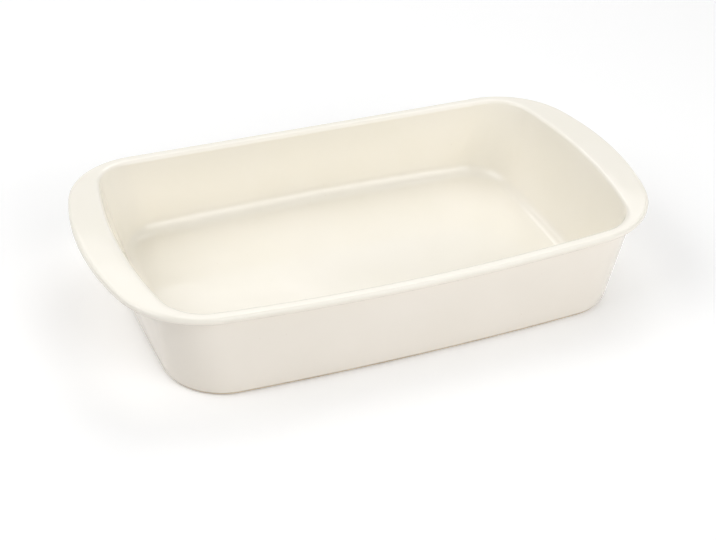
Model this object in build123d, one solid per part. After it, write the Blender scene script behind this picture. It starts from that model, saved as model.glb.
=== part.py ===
from build123d import *
import math
import os
from collections import namedtuple

# A glazed stoneware lasagna dish. Millimetres, +Z up, length along X.
# The origin is on the table, under the middle of the dish.

# Overall size, over the two end handles and up to their tops
overall_length = 400.0
overall_width = 215.0
rim_height = 64.5
handle_rise = 5.5

# Plan of the rim flange, which widens into a crescent handle at each end
flange_corner_radius = 60.5
flange_side_bow_degrees = 3.2
flange_end_bow_degrees = 15.5
flange_thickness = 5.2
flange_edge_radius = 2.1

# Plan of the mouth, the inner edge of the rim
handle_width = 24.4
side_rim_width = 7.8
mouth_corner_radius = 28.5
mouth_side_bow_degrees = 3.9
mouth_end_bow_degrees = 12.3
lip_chamfer = 1.8

# Walls. The taper is how far the foot lies inside the top of the outer wall.
rim_wall = 4.2
end_taper = 16.2
side_taper = 1.4
floor_thickness = 7.5
end_foot_wall = 10.0
side_foot_wall = 6.5
floor_fillet = 11.0

# Plan of the foot, where the outer wall meets the table
foot_corner_radius = 42.5
foot_side_bow_degrees = 3.2
foot_end_bow_degrees = 1.0
foot_edge_radius = 3.5

# Haunch, the thickening under each handle. It starts inside the wall and shows only at the ends.
haunch_depth = 12.0
haunch_reach = 12.0
haunch_root = 1.5
haunch_corner_radius = 45.0

# Unglazed foot ring and the shallow recess inside it
ring_width = 10.0
recess_depth = 1.6
glaze_line = 2.0

# Glaze coat
glaze_thickness = 0.5
base_glaze_gap = 0.6

# How far a cutting tool runs past what it cuts
overrun = 10.0

handle_top = rim_height + handle_rise

Plan = namedtuple("Plan", "length width corner_radius side_bow end_bow")

flange_plan = Plan(overall_length, overall_width, flange_corner_radius,
                   flange_side_bow_degrees, flange_end_bow_degrees)
mouth_plan = Plan(overall_length - 2 * handle_width, overall_width - 2 * side_rim_width,
                  mouth_corner_radius, mouth_side_bow_degrees, mouth_end_bow_degrees)


def grown(plan, amount):
    """The plan with its whole outline moved outward by amount, inward when that is negative."""
    return plan._replace(length=plan.length + 2 * amount, width=plan.width + 2 * amount,
                         corner_radius=plan.corner_radius + amount)


def between(low, high, share):
    """A plan part of the way from one plan to another."""
    return Plan(*[a + (b - a) * share for a, b in zip(low, high)])


def outline(plan, height):
    """A closed wire of eight tangent arcs: two bowed ends, two bowed sides and four corners."""
    side_bow = math.radians(plan.side_bow)
    end_bow = math.radians(plan.end_bow)
    # Each bow angle is half of what its arc turns, so the corner takes the rest of the quarter turn.
    # Solve for how far the corner's centre lies from the centres of the side arc and the end arc.
    half_length = plan.length / 2 - plan.corner_radius
    half_width = plan.width / 2 - plan.corner_radius
    side_flat = 1 - math.cos(side_bow)
    end_flat = 1 - math.cos(end_bow)
    scale = math.sin(side_bow) * math.sin(end_bow) - side_flat * end_flat
    side_reach = (half_length * math.sin(end_bow) - half_width * end_flat) / scale
    centre = Vector(side_reach * math.sin(side_bow), half_width - side_reach * side_flat, height)

    def corner_point(angle):
        return centre + Vector(math.cos(angle), math.sin(angle)) * plan.corner_radius

    def mirrored(point, x_sign, y_sign):
        return Vector(point.X * x_sign, point.Y * y_sign, height)

    quarter = math.pi / 2
    end_tangent = corner_point(end_bow)
    side_tangent = corner_point(quarter - side_bow)
    middle = corner_point((end_bow + quarter - side_bow) / 2)
    end_middle = Vector(plan.length / 2, 0)
    side_middle = Vector(0, plan.width / 2)

    edges = []
    for x, y in ((1, 1), (-1, 1), (-1, -1), (1, -1)):
        corner = [mirrored(p, x, y) for p in (end_tangent, middle, side_tangent)]
        if x == y:
            side = [corner[2], mirrored(side_middle, x, y), mirrored(side_tangent, -x, y)]
            edges.append(Edge.make_three_point_arc(*corner))
            edges.append(Edge.make_three_point_arc(*side))
        else:
            end = [corner[0], mirrored(end_middle, x, y), mirrored(end_tangent, x, -y)]
            edges.append(Edge.make_three_point_arc(*reversed(corner)))
            edges.append(Edge.make_three_point_arc(*end))
    return Wire(edges)


def funnel(low_plan, low_height, high_plan, high_height):
    """A solid whose wall runs straight from one plan up to another."""
    return Solid.make_loft([outline(low_plan, low_height), outline(high_plan, high_height)], ruled=True)


def prism(plan, low_height, high_height):
    """A solid with an upright wall on one plan."""
    return Solid.extrude(Face(outline(plan, low_height)), Vector(0, 0, high_height - low_height))


def under_rim(top_drop, bottom_drop):
    """The space between two copies of the swept rim line, lowered from it by the two drops."""
    half_length = overall_length / 2 + overrun
    half_width = overall_width / 2 + overrun
    rise = handle_rise * (half_length / (overall_length / 2)) ** 2

    def rim_line(drop):
        low = rim_height - drop
        return Edge.make_three_point_arc(Vector(-half_length, -half_width, low + rise),
                                         Vector(0, -half_width, low),
                                         Vector(half_length, -half_width, low + rise))

    top = rim_line(top_drop)
    bottom = rim_line(bottom_drop)
    left = Edge.make_line(bottom @ 0, top @ 0)
    right = Edge.make_line(bottom @ 1, top @ 1)
    return Solid.extrude(Face(Wire([top, right, bottom, left])), Vector(0, 2 * half_width, 0))


wall_top_plan = grown(mouth_plan, rim_wall)
foot_plan = Plan(wall_top_plan.length - 2 * end_taper, wall_top_plan.width - 2 * side_taper,
                 foot_corner_radius, foot_side_bow_degrees, foot_end_bow_degrees)
floor_plan = foot_plan._replace(length=foot_plan.length - 2 * end_foot_wall,
                                width=foot_plan.width - 2 * side_foot_wall,
                                corner_radius=foot_plan.corner_radius - side_foot_wall)


def outer_form(skin):
    """The dish as a full block, with every glazed face moved into the clay by skin."""
    wall = funnel(grown(foot_plan, -skin), 0, grown(wall_top_plan, -skin), handle_top)
    wall = wall.fillet(foot_edge_radius - skin, wall.edges().group_by(Axis.Z)[0])
    wall = wall & under_rim(skin, handle_top + overrun)

    # The flange is a plate of even thickness that follows the swept rim line
    plate = prism(grown(flange_plan, -skin), rim_height - haunch_depth, handle_top + overrun)
    plate = plate & under_rim(skin, flange_thickness - skin)
    edge_radius = flange_edge_radius - skin
    plate = plate.fillet(edge_radius, plate.edges().filter_by(lambda e: abs((e % 0.5).Z) < 0.5))

    haunch_top = handle_top - flange_thickness / 2
    haunch_foot = haunch_top - haunch_depth
    root_plan = grown(between(foot_plan, wall_top_plan, haunch_foot / handle_top), -haunch_root)
    reach_plan = flange_plan._replace(length=wall_top_plan.length + 2 * haunch_reach,
                                      width=wall_top_plan.width - 2 * haunch_root,
                                      corner_radius=haunch_corner_radius)
    haunch = funnel(grown(root_plan, -skin), haunch_foot, grown(reach_plan, -skin), haunch_top)
    haunch = haunch & under_rim(flange_thickness / 2, handle_top + overrun)
    return wall + plate + haunch


def cavity(skin):
    """The inside of the dish up past the rim, grown into the clay by skin."""
    tool_top = handle_top + overrun
    share = (tool_top - floor_thickness) / (handle_top - floor_thickness)
    top_plan = between(floor_plan, mouth_plan, share)
    tool = funnel(grown(floor_plan, skin), floor_thickness - skin, grown(top_plan, skin), tool_top)
    return tool.fillet(floor_fillet + skin, tool.edges().group_by(Axis.Z)[0])


def dish(skin):
    """The whole dish with every glazed face moved into the clay by skin."""
    tool = cavity(skin)
    body = outer_form(skin) - tool
    near_rim = [e for e in body.edges() if (e @ 0.5).Z > rim_height - flange_thickness / 2]
    lip_edges = [e for e in near_rim if tool.distance_to(e @ 0.5) < rim_wall / 4]
    return body.chamfer(lip_chamfer - skin, None, lip_edges)


# Clay body, with the recess that leaves a foot ring
clay = dish(glaze_thickness)
recess_plan = grown(foot_plan, -foot_edge_radius - ring_width)
stoneware_body = clay - prism(recess_plan, -overrun, recess_depth)

# The glaze coat parts into liner and outer glaze halfway down the edge of the flange
glazed = dish(0)
above_flange = prism(grown(flange_plan, overrun), rim_height - flange_thickness, handle_top + overrun)
above_flange = above_flange - under_rim(flange_thickness / 2, handle_top + overrun)
liner_side = above_flange + cavity(rim_wall / 2)
bare_zone = prism(grown(foot_plan, overrun), -overrun, glaze_line)
liner_glaze = (glazed & liner_side) - clay
outer_glaze = (glazed - liner_side - bare_zone) - clay

# Patch of glaze in the recess
base_glaze = prism(grown(recess_plan, -base_glaze_gap), recess_depth - glaze_thickness, recess_depth)

os.makedirs("parts", exist_ok=True)
for name, solid in (("stoneware_body", stoneware_body), ("liner_glaze", liner_glaze),
                    ("outer_glaze", outer_glaze), ("base_glaze", base_glaze)):
    export_step(solid, f"parts/{name}.step")
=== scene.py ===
import math
from collections import namedtuple

import bpy
import numpy as np
from mathutils import Matrix, Vector


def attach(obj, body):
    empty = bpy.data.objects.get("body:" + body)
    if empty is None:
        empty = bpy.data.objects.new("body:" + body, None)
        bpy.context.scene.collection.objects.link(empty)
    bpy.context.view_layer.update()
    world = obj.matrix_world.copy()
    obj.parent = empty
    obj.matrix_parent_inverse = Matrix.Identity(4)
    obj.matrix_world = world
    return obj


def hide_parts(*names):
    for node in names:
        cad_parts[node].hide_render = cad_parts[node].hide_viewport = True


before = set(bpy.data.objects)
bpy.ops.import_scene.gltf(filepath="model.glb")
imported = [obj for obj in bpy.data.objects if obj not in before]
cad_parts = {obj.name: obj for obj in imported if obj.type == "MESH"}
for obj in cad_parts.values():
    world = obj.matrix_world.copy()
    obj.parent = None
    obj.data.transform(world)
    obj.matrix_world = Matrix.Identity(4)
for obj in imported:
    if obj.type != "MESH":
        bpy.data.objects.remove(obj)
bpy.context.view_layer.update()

MM = 0.001

# Sizes of the dish in millimetres, as in the part's source
LENGTH = 400.0
WIDTH = 215.0
RIM_HEIGHT = 64.5
HANDLE_RISE = 5.5
HANDLE_TOP = RIM_HEIGHT + HANDLE_RISE
HANDLE_WIDTH = 24.4
SIDE_RIM_WIDTH = 7.8
FLANGE_THICKNESS = 5.2
FLANGE_EDGE = 2.1
LIP = 3.1
RIM_WALL = 4.2
END_TAPER = 16.2
SIDE_TAPER = 1.4
FOOT_EDGE = 3.5
FLOOR = 7.5
FLOOR_FILLET = 11.0
END_FOOT_WALL = 10.0
SIDE_FOOT_WALL = 6.5
HAUNCH_DEPTH = 12.0
HAUNCH_REACH = 12.0
HAUNCH_ROOT = 1.5
HAUNCH_CORNER = 45.0
OVERRUN = 10.0
GLAZE = 0.5
GLAZE_LINE = 2.0
# The part's mesh has flat facets, so the smooth pieces keep this much inside its box
PLAY = 0.06

Plan = namedtuple("Plan", "length width corner side_bow end_bow")


def grown(plan, amount):
    return plan._replace(length=plan.length + 2 * amount, width=plan.width + 2 * amount,
                         corner=plan.corner + amount)


def between(low, high, share):
    return Plan(*[a + (b - a) * share for a, b in zip(low, high)])


flange_plan = grown(Plan(LENGTH, WIDTH, 60.5, 3.2, 15.5), -PLAY)
mouth_plan = Plan(LENGTH - 2 * HANDLE_WIDTH, WIDTH - 2 * SIDE_RIM_WIDTH, 28.5, 3.9, 12.3)
wall_top_plan = grown(mouth_plan, RIM_WALL)
foot_plan = Plan(wall_top_plan.length - 2 * END_TAPER, wall_top_plan.width - 2 * SIDE_TAPER, 42.5, 3.2, 1.0)
floor_plan = Plan(foot_plan.length - 2 * END_FOOT_WALL, foot_plan.width - 2 * SIDE_FOOT_WALL,
                  foot_plan.corner - SIDE_FOOT_WALL, 3.2, 1.0)

# How many steps the outline takes along half an end, a corner and half a side
END_STEPS = 20
CORNER_STEPS = 22
SIDE_STEPS = 30


def ring(plan):
    """Points of one outline, counter-clockwise from the middle of the +X end, and its outward normals."""
    sb, eb = math.radians(plan.side_bow), math.radians(plan.end_bow)
    half_length = plan.length / 2 - plan.corner
    half_width = plan.width / 2 - plan.corner
    side_flat, end_flat = 1 - math.cos(sb), 1 - math.cos(eb)
    scale = math.sin(sb) * math.sin(eb) - side_flat * end_flat
    reach = (half_length * math.sin(eb) - half_width * end_flat) / scale
    cx, cy = reach * math.sin(sb), half_width - reach * side_flat
    end_x, end_y = cx + plan.corner * math.cos(eb), cy + plan.corner * math.sin(eb)
    end_radius = end_y / math.sin(eb)
    side_angle = math.pi / 2 - sb
    side_x, side_y = cx + plan.corner * math.cos(side_angle), cy + plan.corner * math.sin(side_angle)
    side_radius = side_x / math.sin(sb)
    arcs = (
        (end_x - end_radius * math.cos(eb), 0.0, end_radius, 0.0, eb, END_STEPS),
        (cx, cy, plan.corner, eb, side_angle, CORNER_STEPS),
        (0.0, side_y - side_radius * math.cos(sb), side_radius, side_angle, math.pi / 2, SIDE_STEPS),
    )
    points, normals = [], []
    for x, y, radius, first, last, steps in arcs:
        for k in range(steps):
            angle = first + (last - first) * k / steps
            points.append((x + radius * math.cos(angle), y + radius * math.sin(angle)))
            normals.append((math.cos(angle), math.sin(angle)))
    points.append((0.0, plan.width / 2))
    normals.append((0.0, 1.0))
    quarter, turn = np.array(points), np.array(normals)

    def whole(a):
        half = np.vstack([a, a[-2::-1] * [-1, 1]])
        return np.vstack([half, half[-2:0:-1] * [1, -1]])

    return whole(quarter), whole(turn)


# The swept rim line: one wide arc, lowest in the middle
HALF_SPAN = LENGTH / 2 + OVERRUN
SPAN_RISE = HANDLE_RISE * (HALF_SPAN / (LENGTH / 2)) ** 2
SWEEP_RADIUS = (HALF_SPAN ** 2 + SPAN_RISE ** 2) / (2 * SPAN_RISE)


def rim_line(x, drop=0.0):
    return RIM_HEIGHT - PLAY - drop + SWEEP_RADIUS - np.sqrt(SWEEP_RADIUS ** 2 - x ** 2)


def at_height(xy, z):
    return np.column_stack([xy, np.broadcast_to(z, len(xy))])


def along(low, high, z, low_z, high_z):
    """Points at height z on the straight lines from the low ring up to the high ring."""
    share = np.broadcast_to((z - low_z) / (high_z - low_z), len(low))[:, None]
    return at_height(low + (high - low) * share, z)


def lean_of(low, high, normal, height):
    return np.arctan2(((high - low) * normal).sum(1), height)


def arc_rows(corner, normal, centre_out, centre_up, radius, first, last, steps):
    """Rows of points on an arc in the upright planes across an outline."""
    rows = []
    for k in range(steps + 1):
        angle = first + (last - first) * k / steps
        out = centre_out + radius * np.cos(angle)
        up = centre_up + radius * np.sin(angle)
        rows.append(np.column_stack([corner[:, :2] + normal * out[:, None], corner[:, 2] + up]))
    return rows


def bezier_rows(points, steps):
    rows = []
    a, b, c, d = points
    for k in range(steps + 1):
        t = k / steps
        rows.append(a * (1 - t) ** 3 + 3 * b * t * (1 - t) ** 2 + 3 * c * t * t * (1 - t) + d * t ** 3)
    return rows


def line_rows(a, b, steps):
    """Rows between a and b, without either."""
    return [a + (b - a) * (k / steps) for k in range(1, steps)]


foot_xy, foot_n = ring(foot_plan)
top_xy, top_n = ring(wall_top_plan)
flange_xy, flange_n = ring(flange_plan)
mouth_xy, mouth_n = ring(mouth_plan)
floor_xy, floor_n = ring(floor_plan)
STATIONS = len(foot_xy)
ones = np.ones(STATIONS)
# Height of the rim where the flange's edge starts to round, and the middle of that edge
edge_top = rim_line((flange_xy - flange_n * FLANGE_EDGE)[:, 0])
seam = np.column_stack([flange_xy, edge_top - FLANGE_THICKNESS / 2])


# Blend under the rim: depth for each millimetre that the haunch stands out, spread along the wall
# and the underside as a share of the ledge, and the furthest out that the knee may lie on it
BLEND_DEPTH = 1.05
BLEND_SPREAD = 0.6
BLEND_KNEE = 0.8


def outside_rows():
    """Rows of the outer wall from the table up to the middle of the flange's edge."""
    lean = lean_of(foot_xy, top_xy, foot_n, HANDLE_TOP)
    centre_out = FOOT_EDGE * (np.tan(lean) - 1 / np.cos(lean))
    rows = arc_rows(at_height(foot_xy, 0.0), foot_n, centre_out, FOOT_EDGE, FOOT_EDGE,
                    -math.pi / 2 * ones, -lean, 9)

    # The blend under the rim: down the wall, out along the haunch, along the flange's underside
    under = edge_top - FLANGE_THICKNESS
    wall_at = along(foot_xy, top_xy, under, 0.0, HANDLE_TOP)
    edge_in = np.column_stack([flange_xy - flange_n * FLANGE_EDGE, under])
    span = np.hypot(*(edge_in - wall_at)[:, :2].T)
    foot_height = HANDLE_TOP - FLANGE_THICKNESS / 2 - HAUNCH_DEPTH
    reach_plan = flange_plan._replace(length=wall_top_plan.length + 2 * HAUNCH_REACH,
                                      width=wall_top_plan.width - 2 * HAUNCH_ROOT, corner=HAUNCH_CORNER)
    root_plan = grown(between(foot_plan, wall_top_plan, foot_height / HANDLE_TOP), -HAUNCH_ROOT)
    cone_low, cone_high = ring(root_plan)[0], ring(reach_plan)[0]
    cone = along(cone_low, cone_high, under, foot_height, foot_height + HAUNCH_DEPTH)
    # How far the haunch stands out of the wall at the underside, and how deep it goes
    stand = np.clip(((cone - wall_at)[:, :2] * flange_n).sum(1), 0, None)
    depth = stand * BLEND_DEPTH
    root = along(foot_xy, top_xy, under - depth, 0.0, HANDLE_TOP)
    start = along(foot_xy, top_xy, under - depth - BLEND_SPREAD * span - 1.0, 0.0, HANDLE_TOP)
    share = np.clip(stand / np.maximum(span, 1e-6), 0, BLEND_KNEE)[:, None]
    knee = wall_at + (edge_in - wall_at) * share
    end = wall_at + (edge_in - wall_at) * (share + (1 - share) * BLEND_SPREAD)
    rows += line_rows(rows[-1], start, 8)
    rows += bezier_rows((start, root, knee, end), 14)
    rows += line_rows(end, edge_in, 3)
    flange_corner = np.column_stack([flange_xy, under])
    rows += arc_rows(flange_corner, flange_n, -FLANGE_EDGE * ones, FLANGE_EDGE, FLANGE_EDGE,
                     -math.pi / 2 * ones, 0 * ones, 7)
    rows.append(seam)
    return rows


# The flat floor's rings, as shares of its outline, from the fillet inwards
FLOOR_SHARES = (0.97, 0.92, 0.84, 0.72, 0.56, 0.38, 0.2)


def inside_rows():
    """Rows from the middle of the flange's edge over the rim and down to the floor."""
    rows = [seam]
    rows += arc_rows(np.column_stack([flange_xy, edge_top]), flange_n, -FLANGE_EDGE * ones, -FLANGE_EDGE,
                     FLANGE_EDGE, 0 * ones, math.pi / 2 * ones, 7)
    lean = lean_of(floor_xy, mouth_xy, mouth_n, HANDLE_TOP - FLOOR)
    # The corner that the lip rounds, where the inner wall would meet the rim
    height = rim_line(mouth_xy[:, 0])
    for _ in range(4):
        corner = along(floor_xy, mouth_xy, height, FLOOR, HANDLE_TOP)
        height = rim_line(corner[:, 0])
    lip_out = LIP * (1 - np.sin(lean)) / np.cos(lean)
    lip = arc_rows(corner, mouth_n, lip_out, -LIP, LIP, math.pi / 2 * ones, math.pi - lean, 9)
    flat = line_rows(rows[-1], lip[0], 8)
    for row in flat:
        row[:, 2] = rim_line(row[:, 0])
    rows += flat + lip
    floor_lean = lean_of(floor_xy, mouth_xy, floor_n, HANDLE_TOP - FLOOR)
    fillet_out = -FLOOR_FILLET * (1 - np.sin(floor_lean)) / np.cos(floor_lean)
    fillet = arc_rows(at_height(floor_xy, FLOOR), floor_n, fillet_out, FLOOR_FILLET, FLOOR_FILLET,
                      -floor_lean, -math.pi / 2 * ones, 12)
    rows += line_rows(rows[-1], fillet[0], 12) + fillet
    rows += [fillet[-1] * [share, share, 1] for share in FLOOR_SHARES]
    return rows


def vertex_normals(points, faces):
    normals = np.zeros_like(points)
    for face in faces:
        a, b, c = points[face[0]], points[face[1]], points[face[2]]
        n = np.cross(b - a, c - a)
        for index in face:
            normals[index] += n
    return normals / np.maximum(np.linalg.norm(normals, axis=1), 1e-12)[:, None]


# Share of its full thickness that the coat has in its lowest rows
COAT_END_SHARES = (0.12, 0.6, 0.88)


def coat(name, rows, closed_middle, round_foot):
    """A thin closed skin over the rows: its outer face is the rows, its inner face lies under them."""
    count = len(rows)
    outer = np.vstack(rows)
    quads = []
    for i in range(count - 1):
        for j in range(STATIONS):
            k = (j + 1) % STATIONS
            quads.append((i * STATIONS + j, i * STATIONS + k, (i + 1) * STATIONS + k, (i + 1) * STATIONS + j))
    if closed_middle:
        outer = np.vstack([outer, outer[-STATIONS:].mean(0)])
        last = (count - 1) * STATIONS
        quads += [(last + j, last + (j + 1) % STATIONS, count * STATIONS) for j in range(STATIONS)]
    inner = outer - vertex_normals(outer, quads) * GLAZE
    if round_foot:
        # The coat ends in a rounded lip just above the foot
        for i, share in enumerate(COAT_END_SHARES):
            part = slice(i * STATIONS, (i + 1) * STATIONS)
            outer[part] = inner[part] + (outer[part] - inner[part]) * share
    total = len(outer)
    points = np.vstack([outer, inner])
    faces = quads + [tuple(index + total for index in reversed(face)) for face in quads]
    edges = [0] if closed_middle else [0, count - 1]
    for i in edges:
        for j in range(STATIONS):
            k = (j + 1) % STATIONS
            a, b = i * STATIONS + j, i * STATIONS + k
            quad = (a, a + total, b + total, b)
            faces.append(quad if i == 0 else tuple(reversed(quad)))
    mesh = bpy.data.meshes.new(name)
    mesh.from_pydata([tuple(p) for p in points * MM], [], faces)
    mesh.validate()
    mesh.update()
    mesh.polygons.foreach_set("use_smooth", [True] * len(mesh.polygons))
    # Sharp where the skin turns in at its ends
    rims = set()
    for i in edges:
        if i == 0 and round_foot:
            continue
        rims.update(i * STATIONS + j for j in range(STATIONS))
    for edge in mesh.edges:
        a, b = edge.vertices
        if (a in rims and b in rims) or (a - total in rims and b - total in rims):
            edge.use_edge_sharp = True
    obj = bpy.data.objects.new(name, mesh)
    bpy.context.scene.collection.objects.link(obj)
    return obj


outside = outside_rows()
# The coat starts at the glaze line, part of the way up the rounded foot
below = [i for i, row in enumerate(outside) if row[:, 2].mean() < GLAZE_LINE]
outside = outside[below[-1] + 1:]
outer_coat = coat("outer_glaze_coat", outside, False, True)
liner_coat = coat("liner_glaze_coat", inside_rows(), True, False)
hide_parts("outer_glaze")
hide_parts("liner_glaze")
for piece, slot in ((outer_coat, "outer_glaze"), (liner_coat, "liner_glaze")):
    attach(piece, "root")


def node_tree(name):
    material = bpy.data.materials.new(name)
    material.use_nodes = True
    tree = material.node_tree
    tree.nodes.clear()
    output = tree.nodes.new("ShaderNodeOutputMaterial")
    return material, tree, output


def glaze_material(name, light, shade, roughness):
    """Glossy cream glaze: cloudy colour, soft waves and fine pits in the surface, uneven gloss."""
    material, tree, output = node_tree(name)
    new, link = tree.nodes.new, tree.links.new
    shader = new("ShaderNodeBsdfPrincipled")
    link(shader.outputs["BSDF"], output.inputs["Surface"])
    place = new("ShaderNodeTexCoord").outputs["Object"]

    def noise(scale, detail, rough):
        node = new("ShaderNodeTexNoise")
        node.inputs["Scale"].default_value = scale
        node.inputs["Detail"].default_value = detail
        node.inputs["Roughness"].default_value = rough
        link(place, node.inputs["Vector"])
        return node.outputs["Fac"]

    def spread(value, low, high, out_low, out_high):
        node = new("ShaderNodeMapRange")
        link(value, node.inputs["Value"])
        sockets = ("From Min", "From Max", "To Min", "To Max")
        for socket, number in zip(sockets, (low, high, out_low, out_high)):
            node.inputs[socket].default_value = number
        return node.outputs["Result"]

    cloud = noise(14.0, 3.0, 0.5)
    tone = new("ShaderNodeMix")
    tone.data_type = "RGBA"
    tone.inputs["A"].default_value = (*light, 1)
    tone.inputs["B"].default_value = (*shade, 1)
    link(spread(cloud, 0.35, 0.65, 0.0, 1.0), tone.inputs["Factor"])
    # Sparse faint specks from the clay
    speck = new("ShaderNodeTexVoronoi")
    speck.inputs["Scale"].default_value = 170.0
    link(place, speck.inputs["Vector"])
    speck_mask = spread(speck.outputs["Distance"], 0.03, 0.09, 1.0, 0.0)
    rare = new("ShaderNodeSeparateColor")
    link(speck.outputs["Color"], rare.inputs["Color"])
    rare_mask = spread(rare.outputs["Red"], 0.90, 0.94, 0.0, 0.35)
    both = new("ShaderNodeMath")
    both.operation = "MULTIPLY"
    link(speck_mask, both.inputs[0])
    link(rare_mask, both.inputs[1])
    colour = new("ShaderNodeMix")
    colour.data_type = "RGBA"
    link(both.outputs["Value"], colour.inputs["Factor"])
    link(tone.outputs["Result"], colour.inputs["A"])
    colour.inputs["B"].default_value = (0.62, 0.50, 0.36, 1)
    link(colour.outputs["Result"], shader.inputs["Base Color"])

    gloss = spread(noise(38.0, 2.0, 0.5), 0.3, 0.7, roughness * 0.8, roughness * 1.25)
    link(gloss, shader.inputs["Roughness"])
    shader.inputs["IOR"].default_value = 1.5

    waves = new("ShaderNodeBump")
    waves.inputs["Strength"].default_value = 1.0
    waves.inputs["Distance"].default_value = 0.00035
    link(noise(26.0, 1.5, 0.45), waves.inputs["Height"])
    pits = new("ShaderNodeBump")
    pits.inputs["Strength"].default_value = 0.35
    pits.inputs["Distance"].default_value = 0.00003
    link(noise(700.0, 2.0, 0.5), pits.inputs["Height"])
    link(waves.outputs["Normal"], pits.inputs["Normal"])
    link(pits.outputs["Normal"], shader.inputs["Normal"])
    return material


def clay_material():
    """Bare fired stoneware: matt, buff, sandy, with small grog specks."""
    material, tree, output = node_tree("bare_stoneware")
    new, link = tree.nodes.new, tree.links.new
    shader = new("ShaderNodeBsdfPrincipled")
    link(shader.outputs["BSDF"], output.inputs["Surface"])
    place = new("ShaderNodeTexCoord").outputs["Object"]
    grain = new("ShaderNodeTexNoise")
    grain.inputs["Scale"].default_value = 420.0
    grain.inputs["Detail"].default_value = 5.0
    link(place, grain.inputs["Vector"])
    cloud = new("ShaderNodeTexNoise")
    cloud.inputs["Scale"].default_value = 22.0
    link(place, cloud.inputs["Vector"])
    tone = new("ShaderNodeValToRGB")
    tone.color_ramp.elements[0].position = 0.3
    tone.color_ramp.elements[0].color = (0.56, 0.46, 0.33, 1)
    tone.color_ramp.elements[1].position = 0.7
    tone.color_ramp.elements[1].color = (0.72, 0.62, 0.48, 1)
    link(cloud.outputs["Fac"], tone.inputs["Fac"])
    grog = new("ShaderNodeTexVoronoi")
    grog.inputs["Scale"].default_value = 650.0
    link(place, grog.inputs["Vector"])
    mask = new("ShaderNodeMapRange")
    link(grog.outputs["Distance"], mask.inputs["Value"])
    mask.inputs["From Min"].default_value = 0.12
    mask.inputs["From Max"].default_value = 0.22
    mask.inputs["To Min"].default_value = 0.5
    mask.inputs["To Max"].default_value = 0.0
    mix = new("ShaderNodeMix")
    mix.data_type = "RGBA"
    link(mask.outputs["Result"], mix.inputs["Factor"])
    link(tone.outputs["Color"], mix.inputs["A"])
    mix.inputs["B"].default_value = (0.36, 0.27, 0.18, 1)
    link(mix.outputs["Result"], shader.inputs["Base Color"])
    rough = new("ShaderNodeMapRange")
    link(grain.outputs["Fac"], rough.inputs["Value"])
    rough.inputs["To Min"].default_value = 0.78
    rough.inputs["To Max"].default_value = 0.96
    link(rough.outputs["Result"], shader.inputs["Roughness"])
    bump = new("ShaderNodeBump")
    bump.inputs["Strength"].default_value = 0.7
    bump.inputs["Distance"].default_value = 0.00012
    link(grain.outputs["Fac"], bump.inputs["Height"])
    link(bump.outputs["Normal"], shader.inputs["Normal"])
    return material


def dress(obj, material):
    obj.data.materials.clear()
    obj.data.materials.append(material)


cream = glaze_material("liner_glaze_gloss", (0.955, 0.915, 0.825), (0.94, 0.90, 0.80), 0.10)
outer = glaze_material("outer_glaze_gloss", (0.915, 0.858, 0.775), (0.895, 0.838, 0.75), 0.13)
patch = glaze_material("base_glaze_gloss", (0.84, 0.77, 0.66), (0.80, 0.72, 0.60), 0.24)
dress(liner_coat, cream)
dress(outer_coat, outer)
dress(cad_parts["base_glaze"], patch)
dress(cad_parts["stoneware_body"], clay_material())

FLOOR_COLOUR = (0.93, 0.93, 0.93, 1)
# What the floor adds for the camera and in reflections, and the world's light on everything
FLOOR_GLOW = 0.165
WORLD_LIGHT = 0.155
WHITE = (1, 1, 1, 1)

# Floor: pale and plain, white to the camera where no shadow falls
floor_mesh = bpy.data.meshes.new("studio_floor")
edge = 4.0
corners = [(-edge, -edge, 0), (edge, -edge, 0), (edge, edge, 0), (-edge, edge, 0)]
floor_mesh.from_pydata(corners, [], [(0, 1, 2, 3)])
floor_obj = bpy.data.objects.new("studio_floor", floor_mesh)
floor_obj.location.z = -0.00002
bpy.context.scene.collection.objects.link(floor_obj)
floor_material, tree, output = node_tree("studio_floor")
new, link = tree.nodes.new, tree.links.new
paper = new("ShaderNodeBsdfDiffuse")
paper.inputs["Color"].default_value = FLOOR_COLOUR
glow = new("ShaderNodeEmission")
glow.inputs["Color"].default_value = WHITE
path = new("ShaderNodeLightPath")


def ray_sum(tree, path):
    first = tree.nodes.new("ShaderNodeMath")
    first.operation = "MAXIMUM"
    tree.links.new(path.outputs["Is Camera Ray"], first.inputs[0])
    tree.links.new(path.outputs["Is Glossy Ray"], first.inputs[1])
    second = tree.nodes.new("ShaderNodeMath")
    second.operation = "MAXIMUM"
    tree.links.new(first.outputs["Value"], second.inputs[0])
    tree.links.new(path.outputs["Is Transmission Ray"], second.inputs[1])
    return second.outputs["Value"]


strength = new("ShaderNodeMath")
strength.operation = "MULTIPLY"
strength.inputs[1].default_value = FLOOR_GLOW
link(ray_sum(tree, path), strength.inputs[0])
link(strength.outputs["Value"], glow.inputs["Strength"])
add = new("ShaderNodeAddShader")
link(paper.outputs["BSDF"], add.inputs[0])
link(glow.outputs["Emission"], add.inputs[1])
link(add.outputs["Shader"], output.inputs["Surface"])
floor_mesh.materials.append(floor_material)

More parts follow.
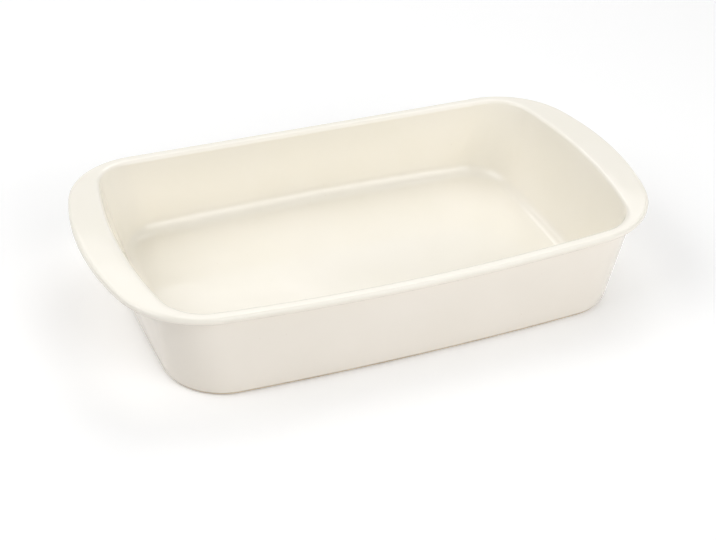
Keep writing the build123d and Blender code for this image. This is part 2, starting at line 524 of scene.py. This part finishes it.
# World: even soft light, white to the camera and in reflections
world = bpy.data.worlds.new("studio")
bpy.context.scene.world = world
world.use_nodes = True
tree = world.node_tree
tree.nodes.clear()
output = tree.nodes.new("ShaderNodeOutputWorld")
light = tree.nodes.new("ShaderNodeBackground")
light.inputs["Color"].default_value = WHITE
light.inputs["Strength"].default_value = WORLD_LIGHT
white = tree.nodes.new("ShaderNodeBackground")
white.inputs["Color"].default_value = WHITE
white.inputs["Strength"].default_value = 1.0
choose = tree.nodes.new("ShaderNodeMixShader")
path = tree.nodes.new("ShaderNodeLightPath")
tree.links.new(ray_sum(tree, path), choose.inputs["Fac"])
tree.links.new(light.outputs["Background"], choose.inputs[1])
tree.links.new(white.outputs["Background"], choose.inputs[2])
tree.links.new(choose.outputs["Shader"], output.inputs["Surface"])


LAMP_DISTANCE = 1.6
LAMP_AIM = Vector((0, 0, 0.04))


def softbox(name, azimuth, elevation, size, strength):
    """A soft lamp that faces the dish. Azimuth 0 is in front and 90 at the +X end; a white card
    turned to the lamp would show strength."""
    a, e = math.radians(azimuth), math.radians(elevation)
    towards = Vector((math.sin(a) * math.cos(e), -math.cos(a) * math.cos(e), math.sin(e)))
    lamp = bpy.data.lights.new(name, "AREA")
    lamp.shape = "RECTANGLE"
    lamp.size, lamp.size_y = size
    lamp.energy = strength * (math.pi * LAMP_DISTANCE) ** 2
    obj = bpy.data.objects.new(name, lamp)
    bpy.context.scene.collection.objects.link(obj)
    obj.location = LAMP_AIM + towards * LAMP_DISTANCE
    obj.rotation_euler = towards.to_track_quat("Z", "Y").to_euler()


softbox("front_softbox", 20, 22, (1.4, 0.8), 0.36)
softbox("front_high_softbox", 20, 45, (1.0, 0.8), 0.175)
softbox("left_softbox", 270, 43, (1.0, 1.0), 0.345)
softbox("back_left_softbox", 222, 46, (1.0, 0.9), 0.17)
softbox("back_right_softbox", 136, 56, (1.1, 0.8), 0.27)
softbox("back_low_softbox", 156, 42, (1.0, 0.4), 0.07)

# Camera: where the photograph was taken from, in millimetres and degrees
AZIMUTH, ELEVATION, ROLL = -24.753, 34.626, 2.963
DISTANCE, FOCAL_PIXELS = 1012.92, 1478.89
PHOTO_WIDTH = 716
SENSOR_WIDTH = 36.0
TARGET = (-16.82, -35.21, 30.5)
azimuth, elevation, roll = math.radians(AZIMUTH), math.radians(ELEVATION), math.radians(ROLL)
back = Vector((math.sin(azimuth) * math.cos(elevation), -math.cos(azimuth) * math.cos(elevation),
               math.sin(elevation)))
right = Vector((math.cos(azimuth), math.sin(azimuth), 0))
up = back.cross(right)
right, up = (right * math.cos(roll) + up * math.sin(roll), up * math.cos(roll) - right * math.sin(roll))
camera_data = bpy.data.cameras.new("camera")
camera_data.sensor_fit = "HORIZONTAL"
camera_data.sensor_width = SENSOR_WIDTH
camera_data.lens = FOCAL_PIXELS / PHOTO_WIDTH * SENSOR_WIDTH
camera_data.clip_start = 0.01
camera = bpy.data.objects.new("camera", camera_data)
bpy.context.scene.collection.objects.link(camera)
place = (Vector(TARGET) + back * DISTANCE) * MM
camera.matrix_world = Matrix((
    (right.x, up.x, back.x, place.x),
    (right.y, up.y, back.y, place.y),
    (right.z, up.z, back.z, place.z),
    (0, 0, 0, 1)))
bpy.context.scene.camera = camera
bpy.context.scene.view_settings.view_transform = "Standard"
